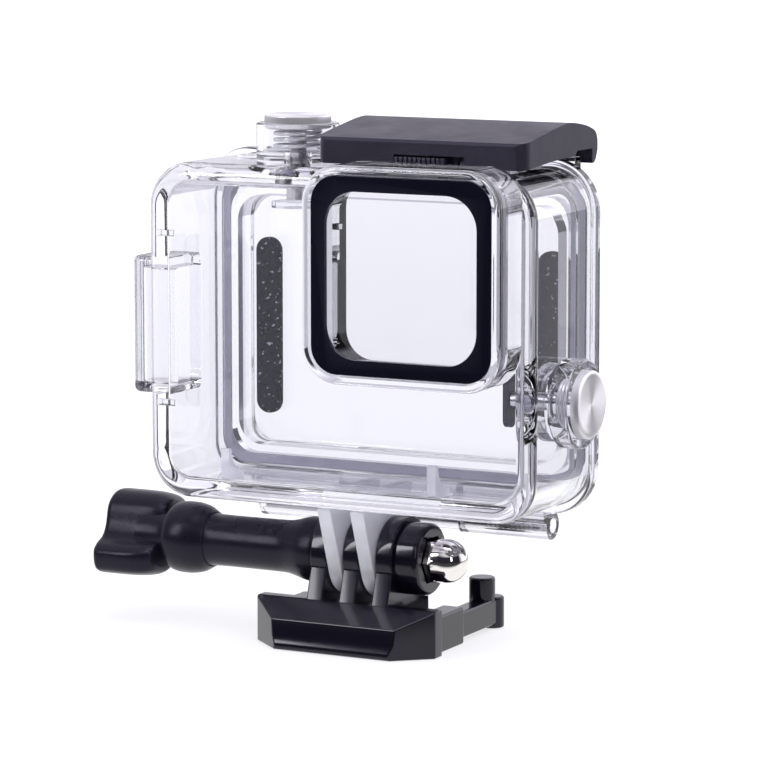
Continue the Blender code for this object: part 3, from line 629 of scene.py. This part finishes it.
def build_window():
    low, high = (BEZEL.low.x, BEZEL.low.z), (BEZEL.high.x, BEZEL.high.z)
    bezel = rect_solid("window_bezel", "Y", low, high, BEZEL_R, BEZEL.low.y, BEZEL.high.y, 0.15, 0, 20)
    opening = grow(low, high, (APERTURE - BEZEL.size.x) / 2)
    cut(bezel, rect_solid("aperture", "Y", *opening, 5.6, BEZEL.low.y - 1, BEZEL.high.y + 1, 0, 0, 20))
    finish(bezel, INK, "housing", ["lens_frame"])
    pane = rect_solid("window_pane", "Y", low, high, BEZEL_R, PANE.low.y, PANE.high.y, 0.2, 0.2, 16)
    finish(pane, GLASS, "housing", ["lens_window"])
    width = (PANE_SEAL.size.x - BORE) / 2 - 0.1
    front, back = PANE_SEAL.low.y, PANE_SEAL.high.y
    section = [(0.1, front), (width - 0.1, front), (width, front + 0.1), (width, back), (0, back),
               (0, front + 0.1)]
    seal = rect_ring("window_seal", low, high, BEZEL_R, section, 16)
    finish(seal, RUBBER, "housing", ["lens_seal"])


# Back door

def build_door():
    plate_front = FLANGE_BACK_Y + GAP
    door_low = (DOOR.low.x, PIVOT_Z + 8.6)
    door_high = (DOOR.high.x, PIVOT_Z + 66.8)
    door_back = DOOR.high.y - LIP_DEPTH
    door = rect_solid("door_panel", "Y", door_low, door_high, 8.0, plate_front, door_back, 0.2, 2.4)
    groove = (SEAL.low.y - GAP, SEAL.high.y + GAP)
    ways = (
        (DOOR.low.y, groove[0], 0.7),
        (groove[0] - 0.2, groove[1] + 0.2, 2.3),
        (groove[1], plate_front + 0.5, 0.7),
    )
    for start, end, margin in ways:
        low, high = grow(CAVITY_LOW, CAVITY_HIGH, -margin)
        join(door, rect_solid("plug", "Y", low, high, CAVITY_R, start, end, 0, 0, 10))
    lip_back = DOOR.high.y
    catch = at_pivot([(14.0, 64.0), (door_back, 64.0), (lip_back, 65.4), (lip_back, 67.9), (14.6, 67.9)])
    lip = prism("lip", catch, "X", *LIP_SPAN)
    join(door, bevel(lip, 0.25, 2))
    low, high = grow(CAVITY_LOW, CAVITY_HIGH, -3.9)
    cut(door, rect_solid("pocket", "Y", low, high, CAVITY_R, DOOR.low.y - 1, door_back - 2.0, 0, 0.6, 10))
    join(door, knuckle("knuckle", *DOOR_KNUCKLE, (plate_front, door_back - 0.6)))
    cut(door, hinge_way())
    finish(door, CLEAR, "back_door", ["door_shell"])


def build_door_seal():
    """A soft ring with two lips towards the housing's wall."""
    depth = SEAL.size.y
    width = 1.7
    lips = [(0.35 * (1 - abs(sin(2 * pi * i / 16))), SEAL.low.y + depth * i / 16) for i in range(17)]
    section = lips + [(width, SEAL.high.y), (width, SEAL.low.y)]
    seal = rect_ring("door_seal", (SEAL.low.x, SEAL.low.z), (SEAL.high.x, SEAL.high.z), CAVITY_R - GAP,
                     section, 14)
    finish(seal, RUBBER, "back_door", ["door_gasket"])


def build_pads():
    """Foam strips: crowned, with a faintly uneven skin."""
    for side in ("left", "right"):
        node = "foam_pad_" + side
        box = Extent(node)
        pad = rect_solid("foam_strip_" + side, "Y", (box.low.x, box.low.z), (box.high.x, box.high.z),
                         box.size.x / 2 - 0.1, box.low.y + 0.05, box.high.y, 0.45, 0.1, 10)
        split = bmesh.new()
        split.from_mesh(pad.data)
        bmesh.ops.triangulate(split, faces=[f for f in split.faces if len(f.verts) > 4])
        bmesh.ops.subdivide_edges(split, edges=[e for e in split.edges if e.calc_length() > 2 * MM], cuts=24)
        split.to_mesh(pad.data)
        split.free()
        finish(pad, FOAM, "back_door", [node])


# Buttons

def coil(name, axis, centre, start, end, radius, wire, turns=3.2, steps=40, sides=12):
    """A round-wire compression spring with closed ends."""
    count = int(turns * steps)
    loops = []
    for i in range(count + 1):
        angle = 2 * pi * i / steps
        part = i / count
        eased = part - 0.11 * sin(2 * pi * part)
        rise = start + wire + (end - start - 2 * wire) * eased
        ring = []
        for k in range(sides):
            a = 2 * pi * k / sides
            r = radius + wire * cos(a)
            u, v = centre[0] + r * cos(angle), centre[1] + r * sin(angle)
            ring.append(place(axis, u, v, rise + wire * sin(a)))
        loops.append(ring)
    return loft(name, loops)


def build_button(name, axis):
    """The turned disc of the cap, and a coil under it."""
    cap, spring = BUTTONS[name], SPRINGS[name]
    along = "xyz".index(axis.lower())
    centre = (cap.mid.x, cap.mid.y) if axis == "Z" else (cap.mid.y, cap.mid.z)
    low, high = cap.low[along], cap.high[along]
    radius = cap_radius(name)
    rim = [(radius - 0.5, low), (radius, low + 0.25), (radius, high - 0.35), (radius - 0.12, high - 0.12),
           (radius - 0.4, high)]
    dish = [(radius - 0.9, high - 0.04), (radius - 2.5, high - 0.12), (0.3, high - 0.16)]
    disc = turned(name + "_disc", axis, centre, rim + dish, 96)
    cut(disc, rod("socket", axis, centre, 1.8, low - 1, low + 1.2, steps=32))
    finish(disc, DISCS[name], name + "_button", [name + "_cap"])
    wire = 0.35
    wound = coil(name + "_coil", axis, centre, spring.low[along], spring.high[along],
                 spring.size[(along + 1) % 3] / 2 - wire, wire)
    finish(wound, WIRE, name + "_button", [name + "_spring"], 60)
    under_cap = Vector(spring.mid)
    under_cap[along] = spring.high[along]
    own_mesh(wound)


# Latch

def build_latch():
    """A hollow cover with a hook at its back, hung on two ears from the link."""
    top = smooth_line([(-8.9, 71.8), (-2.6, 72.8), (2.0, 73.5), (6.0, 74.0), (9.3, 74.1), (14.2, 73.45),
                       (17.5, 72.6), (18.9, 71.8), (19.5, 70.6)])
    under = [(19.5, 69.0), (18.9, 67.6), (18.2, 66.9), (17.4, 66.8), (17.4, 69.3), (11.2, 69.3), (10.4, 68.5),
             (4.8, 68.4), (-0.8, 68.1), (-9.2, 67.4), (-9.3, 71.3)]
    lever = prism("latch_cover", at_pivot(under[::-1] + top[::-1]), "X", LEVER.low.x, LEVER.high.x)
    plan_low, plan_high = (LEVER.low.x, LEVER.low.y), (LEVER.high.x, LEVER.high.y + 6)
    common(lever, rect_solid("plan", "Z", plan_low, plan_high, 2.2, 40, 120, 0, 0, 6))
    bevel(lever, 0.4, 3, 35)
    ceiling = [(y, h - COVER_WALL) for y, h in top if -7.7 < y < 15.6]
    walls = [(-7.7, 60), (15.9, 60), (15.9, ceiling[-1][1])]
    room = at_pivot(walls + ceiling[::-1] + [(-7.7, ceiling[0][1])])
    cut(lever, prism("room", room, "X", LEVER.low.x + COVER_WALL, LEVER.high.x - COVER_WALL))
    y, h = LINK.low.y + EAR_R, LINK.mid.z - PIVOT_Z
    ear = at_pivot(arc((y, h), EAR_R, 180, 360, 16) + [(y + 1.8, h + 2.6), (y - 1.8, h + 2.6)])
    for start, end in LATCH_EARS:
        join(lever, prism("ear", ear, "X", start, end))
    notch = at_pivot([(-12, 60), (-7, 60), (-7, 69.3), (-12, 69.3)])
    cut(lever, prism("notch", notch, "X", LOCK.low.x + 0.9, LOCK.high.x + 2.1),
        rod("way", "X", (y, h + PIVOT_Z), PIN_WAY_R, -3, 30, steps=24))
    finish(lever, SATIN, "latch_lever", ["latch_lever"])


def build_lock():
    """A grooved push pad on a plate that slides behind the cover's front."""
    left, right = LOCK.low.x + 1.2, LOCK.high.x - 1.2
    block = at_pivot([(-9.8, 67.6), (-6.9, 67.6), (-6.9, 69.0), (-9.8, 69.0)])
    pad = prism("lock_button", block, "X", left, right)
    slide = at_pivot([(-7.4, 67.3), (-6.5, 67.3), (-6.5, 70.0), (-7.4, 70.0)])
    join(bevel(pad, 0.15, 2), prism("plate", slide, "X", LOCK.low.x, LOCK.high.x))
    grooves = 10
    groove = at_pivot([(-10, 67), (-9.55, 67), (-9.55, 70), (-10, 70)])
    pitch = (right - left) / (grooves + 1)
    for i in range(grooves):
        at = left + pitch * (i + 1)
        cut(pad, prism("groove", groove, "X", at - 0.16, at + 0.16))
    finish(pad, SATIN, "lock_slider", ["lock_slider"])


# Mount

def build_buckle():
    front, side = BUCKLE.low.y, BUCKLE.high.x
    plan = [(-side, -8.9), (-10.8, front), (10.8, front), (side, -8.9), (side, 5.0), (-side, 5.0)]
    wedge = [(front + 0.2, 0), (-6.2, 0), (-6.2, 8.0), (-8.6, 8.0), (front + 0.8, 5.2), (front + 0.6, 2.5),
             (front + 0.1, 1.3), (front, 0.4)]
    buckle = prism("buckle_body", wedge, "X", -side - 2, side + 2)
    common(buckle, prism("plan", plan, "Z", -2, 12))
    bevel(buckle, 0.6, 3, 20)
    floor = rect_solid("floor", "Z", (-15.6, -7.2), (15.6, 5.2), 0.8, 0, 4.0, 0.2, 0.3, 4)
    join(buckle, floor)
    for sign in (-1, 1):
        add_buckle_side(buckle, sign)
    foot = at_pivot(arc((0, 0), FINGER_R, 0, 195, 44) + [(-10.2, 2.5 - PIVOT_Z), (7.4, 2.5 - PIVOT_Z)])
    for middle in (-FINGER_PITCH, 0, FINGER_PITCH):
        finger = prism("finger", foot, "X", middle - FINGER_WIDTH / 2, middle + FINGER_WIDTH / 2)
        join(buckle, bevel(finger, 0.3, 3, 40))
    outer = FINGER_PITCH + FINGER_WIDTH / 2
    join(buckle, rod("boss", "X", (0, PIVOT_Z), NUT_BOSS_R, outer - 0.5, NUT_BOSS_END_X, 0, 0.9))
    hexagon = nut_hexagon(NUT.size.z / 2 + 0.4)
    cut(buckle, rod("way", "X", (0, PIVOT_Z), BOLT_WAY_R, -20, 20, steps=48),
        prism("pocket", hexagon, "X", outer + 1.0, outer + 10))
    finish(buckle, GLOSS, "buckle", ["buckle"])


def add_buckle_side(buckle, sign):
    def span(first, second):
        return sorted((sign * first, sign * second))
    low, high = span(15.6, 11.4)
    join(buckle, rect_solid("rail", "Z", (low, -8.0), (high, 5.2), 0.6, 0, 6.3, 0.3, 0.5, 5))
    low, high = span(15.2, 11.8)
    join(buckle, rect_solid("arm", "Z", (low, 3.0), (high, 20.0), 0.6, 0.8, 5.3, 0.3, 0.5, 5))
    join(buckle, rod("catch", "Z", (sign * 13.7, 20.0), 2.1, 0, 5.5, 0.3, 0.4, 40))
    join(buckle, rod("tab", "Z", (sign * 12.9, 17.6), 2.3, 4.0, 9.2, 0, 0.4, 40))


def nut_hexagon(radius):
    return [(radius * cos(pi / 3 * i), PIVOT_Z + radius * sin(pi / 3 * i)) for i in range(6)]


def build_nut():
    radius = NUT.size.z / 2
    hex_end = NUT.low.x + 5.0
    nut = prism("acorn_cap_nut", nut_hexagon(radius), "X", NUT.low.x, hex_end)
    chamfers = [(radius - 0.5, NUT.low.x - 0.1), (radius + 0.2, NUT.low.x + 0.6),
                (radius + 0.2, hex_end - 1.0), (radius - 0.9, hex_end + 0.1)]
    common(nut, turned("cone", "X", (0, PIVOT_Z), chamfers, 72))
    dome_r = 3.75
    tip = NUT.high.x
    angles = [pi / 2 * i / 16 for i in range(16)]
    dome = [(dome_r, hex_end - 0.6)] + [(dome_r * cos(a), tip - dome_r + dome_r * sin(a)) for a in angles]
    join(nut, turned("dome", "X", (0, PIVOT_Z), dome, 72))
    cut(nut, rod("bore", "X", (0, PIVOT_Z), BOLT_BORE_R, NUT.low.x - 5, NUT.low.x + 6.2, steps=40))
    finish(nut, CHROME, "buckle", ["acorn_nut"], 25)


def wing_outline():
    """The thumb wing's S-shaped section: a concave thumb rest on one side, and the same turned round."""
    half = [(0.3, 7.0), (-2.2, 5.2), (-3.3, 1.6), (-4.6, -0.4), (-6.9, -1.6), (-7.9, -3.0), (-7.2, -5.8),
            (-3.6, -7.0)]
    loop = half + [(-y, -h) for y, h in half]
    return smooth_line(loop[-1:] + loop + loop[:2], 10)[10:-11]


def wing_profile(start, end):
    """(X, share of the full section) along the wing: rounded at its free end, drawn in towards the stem."""
    outer = [(along, 1 - inset / 8) for along, inset in edge_profile(start, start + 3, 1.0, 0, 8)]
    length = end - start - 3
    inner = []
    for i in range(1, 17):
        part = i / 16
        inner.append((start + 3 + length * sin(part * pi / 2), 1 - 0.34 * (1 - cos(part * pi / 2)) ** 1.6))
    return outer + inner


def build_thumb_screw():
    tail = KNOB.high.x
    hub = [(5.2, tail), (5.6, tail - 0.5), (5.65, tail - 1.8), (5.5, tail - 3.4), (5.0, tail - 5.2),
           (4.6, tail - 7.0)]
    shank = [(4.5, -18.0), (4.5, -29.0)]
    collar = [(4.9, -30.4), (5.7, -31.8), (6.1, -33.2), (6.25, -34.6), (6.2, -36.4), (5.8, -37.8),
              (4.6, -38.6)]
    profile = smooth_line(hub + shank + collar + [(4.6, -44.0)], 4)
    stem = turned("thumb_wing", "X", (0, PIVOT_Z), profile, 72)
    outline = wing_outline()
    loops = []
    for along, share in wing_profile(KNOB.low.x, -39.2):
        loops.append([place("X", y * share, PIVOT_Z + h * (0.35 + 0.65 * share), along) for y, h in outline])
    join(stem, loft("wing", loops))
    cut(stem, rod("bore", "X", (0, PIVOT_Z), BOLT_BORE_R, -36.3, 0, steps=40))
    finish(stem, GRIP, "thumb_screw", ["thumb_knob"])


def build_hinge_rod():
    """The hinge pin, with a diamond knurl cut into it towards its right end."""
    centre = (HINGE.mid.y, HINGE.mid.z)
    radius = HINGE.size.z / 2
    sides = 48
    knurl_start, knurl_end, pitch = 16.0, 25.6, 0.3
    ends = edge_profile(HINGE.low.x, HINGE.high.x, 0.2, 0.2, 3)
    loops = []
    for along, inset in ends[:4] + [(knurl_start - pitch, 0)]:
        loops.append([place("X", u, v, along) for u, v in circle(centre, radius - inset, sides)])
    for step in range(int((knurl_end - knurl_start) / pitch)):
        along = knurl_start + step * pitch
        ring = []
        for k in range(sides):
            depth = 0.16 * abs(sin(pi * (step / 3 + k / 4))) * abs(sin(pi * (step / 3 - k / 4)))
            angle = 2 * pi * k / sides
            r = radius - depth
            ring.append(place("X", centre[0] + r * cos(angle), centre[1] + r * sin(angle), along))
        loops.append(ring)
    for along, inset in [(knurl_end + pitch, 0)] + ends[4:]:
        loops.append([place("X", u, v, along) for u, v in circle(centre, radius - inset, sides)])
    finish(loft("hinge_rod", loops), STEEL, "housing", ["hinge_pin"])


def dress_cad_nodes():
    """Finishes for the small pieces whose CAD shape is already right."""
    looks = {
        "screw_bolt": (STEEL, "brushed_steel"),
        "latch_hinge_pin": (STEEL, "brushed_steel"),
        "lever_pin": (STEEL, "brushed_steel"),
        "latch_link": (SATIN, "black_nylon"),
        "shutter_seal": (RUBBER, "seal_rubber"),
        "mode_seal": (RUBBER, "seal_rubber"),
    }
    for name in ("shutter", "mode"):
        looks[name + "_shaft"] = (STEEL, "brushed_steel")
        looks[name + "_clip"] = (STEEL, "brushed_steel")
    looks["shutter_plate"] = (CLEAR, "clear_polycarbonate")
    looks["mode_plate"] = (SATIN, "black_nylon")
    for name, (material, slot) in looks.items():
        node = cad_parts[name]
        node.data.materials.clear()
        node.data.materials.append(material)


# Studio and camera

YAW = radians(27.23)
PITCH = radians(8.08)
DISTANCE = 659.31
LENS = 181.06
AIM_RIGHT = 2.50
AIM_UP = 28.98
BACK = Vector((sin(YAW) * cos(PITCH), -cos(YAW) * cos(PITCH), sin(PITCH)))
RIGHT = Vector((cos(YAW), sin(YAW), 0))
UP = BACK.cross(RIGHT)


def add_camera():
    data = bpy.data.cameras.new("camera")
    data.lens = LENS
    data.sensor_width = 36.0
    data.clip_end = 20
    camera = bpy.data.objects.new("camera", data)
    bpy.context.scene.collection.objects.link(camera)
    camera.location = (Vector((0, 0, PIVOT_Z)) + BACK * DISTANCE + RIGHT * AIM_RIGHT + UP * AIM_UP) * MM
    camera.rotation_euler = Matrix((RIGHT, UP, BACK)).transposed().to_euler()
    bpy.context.scene.camera = camera


def add_floor():
    shape = bmesh.new()
    bmesh.ops.create_circle(shape, cap_ends=True, segments=96, radius=4.0)
    mesh = bpy.data.meshes.new("studio_floor")
    shape.to_mesh(mesh)
    shape.free()
    floor = bpy.data.objects.new("studio_floor", mesh)
    bpy.context.scene.collection.objects.link(floor)
    floor.location.z = (BUCKLE.low.z - 0.1) * MM
    mesh.materials.append(floor_material())


def floor_material():
    """White paper. Mirrored rays see it bright close by and behind, and dark out towards the camera.

    Other rays see it white, unless they leave the object's right half towards the right, which see it dark.
    """
    material, tree, shader = new_material("pale_floor")
    shader.inputs["Roughness"].default_value = 0.9
    shader.inputs["Specular IOR Level"].default_value = 0.1
    where = tree.node("NewGeometry").outputs["Position"]
    away = tree.node("VectorMath", {0: where}, operation="LENGTH").outputs["Value"]
    ahead = tree.node("VectorMath", {0: where, 1: BACK}, operation="DOT_PRODUCT").outputs["Value"]
    path = tree.node("LightPath")
    mirrored = tree.maths("MULTIPLY", path.outputs["Is Glossy Ray"], path.outputs["Is Reflection Ray"])
    plain = tree.maths("SUBTRACT", 1.0, mirrored)
    tree.link(tree.blend(plain, (0.0, 0.0, 0.0), (0.3, 0.3, 0.32)), shader.inputs["Base Color"])
    shader.inputs["Emission Color"].default_value = (1, 1, 1, 1)
    incoming = tree.node("SeparateXYZ", {0: tree.node("NewGeometry").outputs["Incoming"]}).outputs["X"]
    landing = tree.node("SeparateXYZ", {0: where}).outputs["X"]
    start = tree.maths("ADD", landing, tree.maths("MULTIPLY", incoming, path.outputs["Ray Length"]))
    leftward = tree.spread(incoming, -0.3, -0.1, 0.02, 1.0)
    flagged = tree.maths("MAXIMUM", leftward, tree.spread(start, 0.0, 0.02, 1.0, 0.0))
    glow = tree.maths("MULTIPLY", tree.spread(away, 0.1, 0.9, 0.72, 0.93), flagged)
    behind = tree.spread(away, 0.08, 0.25, 1.1, 0.4)
    mirror_glow = tree.maths("MULTIPLY", behind, tree.spread(ahead, 0.032, 0.055, 1.0, 0.04))
    straight = tree.maths("MULTIPLY", glow, plain)
    strength = tree.maths("ADD", straight, tree.maths("MULTIPLY", mirror_glow, mirrored))
    tree.link(strength, shader.inputs["Emission Strength"])
    return material


def add_world():
    """Bright behind the object and above it, most of all on the right, and dim on the camera's side.

    Rays that clear plastic bends to the right see it dark, and the camera sees it plain white.
    """
    world = bpy.data.worlds.new("studio")
    world.use_nodes = True
    bpy.context.scene.world = world
    tree = Tree(world.node_tree)
    shader = world.node_tree.nodes["Background"]
    where = tree.node("TexCoord").outputs["Generated"]
    towards = tree.node("VectorMath", {0: where, 1: BACK}, operation="DOT_PRODUCT").outputs["Value"]
    height = tree.node("SeparateXYZ", {0: where}).outputs["Z"]
    behind = tree.spread(towards, 0.35, -0.15, 0.0, 1.0)
    above = tree.spread(height, 0.45, 0.8, 0.0, 1.0)
    lit = tree.maths("MAXIMUM", behind, above)
    across = tree.node("SeparateXYZ", {0: where}).outputs["X"]
    side = tree.spread(across, -0.3, 0.4, 0.0, 1.0)
    rightward = tree.spread(across, 0.1, 0.3, 0.0, 1.0)
    back = tree.blend(side, (0.8, 0.78, 0.86), (2.0, 1.97, 2.1))
    bent = tree.maths("MULTIPLY", tree.node("LightPath").outputs["Is Transmission Ray"], rightward)
    back = tree.blend(bent, back, (0.05, 0.048, 0.06))
    colour = tree.blend(lit, (0.025, 0.023, 0.036), back)
    seen = tree.blend(tree.node("LightPath").outputs["Is Camera Ray"], colour, (1.0, 1.0, 1.0))
    tree.link(seen, shader.inputs["Color"])


def add_softbox(name, direction, distance, width, height, power):
    data = bpy.data.lights.new(name, "AREA")
    data.shape = "RECTANGLE"
    data.size = width
    data.size_y = height
    data.energy = power
    light = bpy.data.objects.new(name, data)
    bpy.context.scene.collection.objects.link(light)
    aim = Vector((0, 0, 0.05))
    light.location = aim + Vector(direction).normalized() * distance
    light.rotation_euler = (aim - light.location).to_track_quat("-Z", "Y").to_euler()
    light.visible_camera = False


def add_studio():
    scene = bpy.context.scene
    scene.view_settings.view_transform = "Standard"
    scene.cycles.max_bounces = 24
    scene.cycles.transmission_bounces = 24
    scene.cycles.transparent_max_bounces = 16
    scene.cycles.glossy_bounces = 8
    scene.cycles.sample_clamp_indirect = 6.0
    add_world()
    add_floor()
    add_softbox("top_softbox", (0.2, -0.2, 1.0), 0.9, 0.5, 0.4, 2.4)
    add_softbox("left_softbox", (-0.49, -0.77, 0.43), 0.9, 0.1, 0.45, 1.9)
    add_softbox("right_softbox", (1.0, -0.75, 0.5), 0.9, 0.1, 0.5, 0.8)
    add_camera()


build_shell()
build_window()
build_door()
build_door_seal()
build_pads()
build_button("shutter", "Z")
build_button("mode", "X")
build_latch()
build_lock()
build_buckle()
build_nut()
build_thumb_screw()
build_hinge_rod()
dress_cad_nodes()
add_studio()
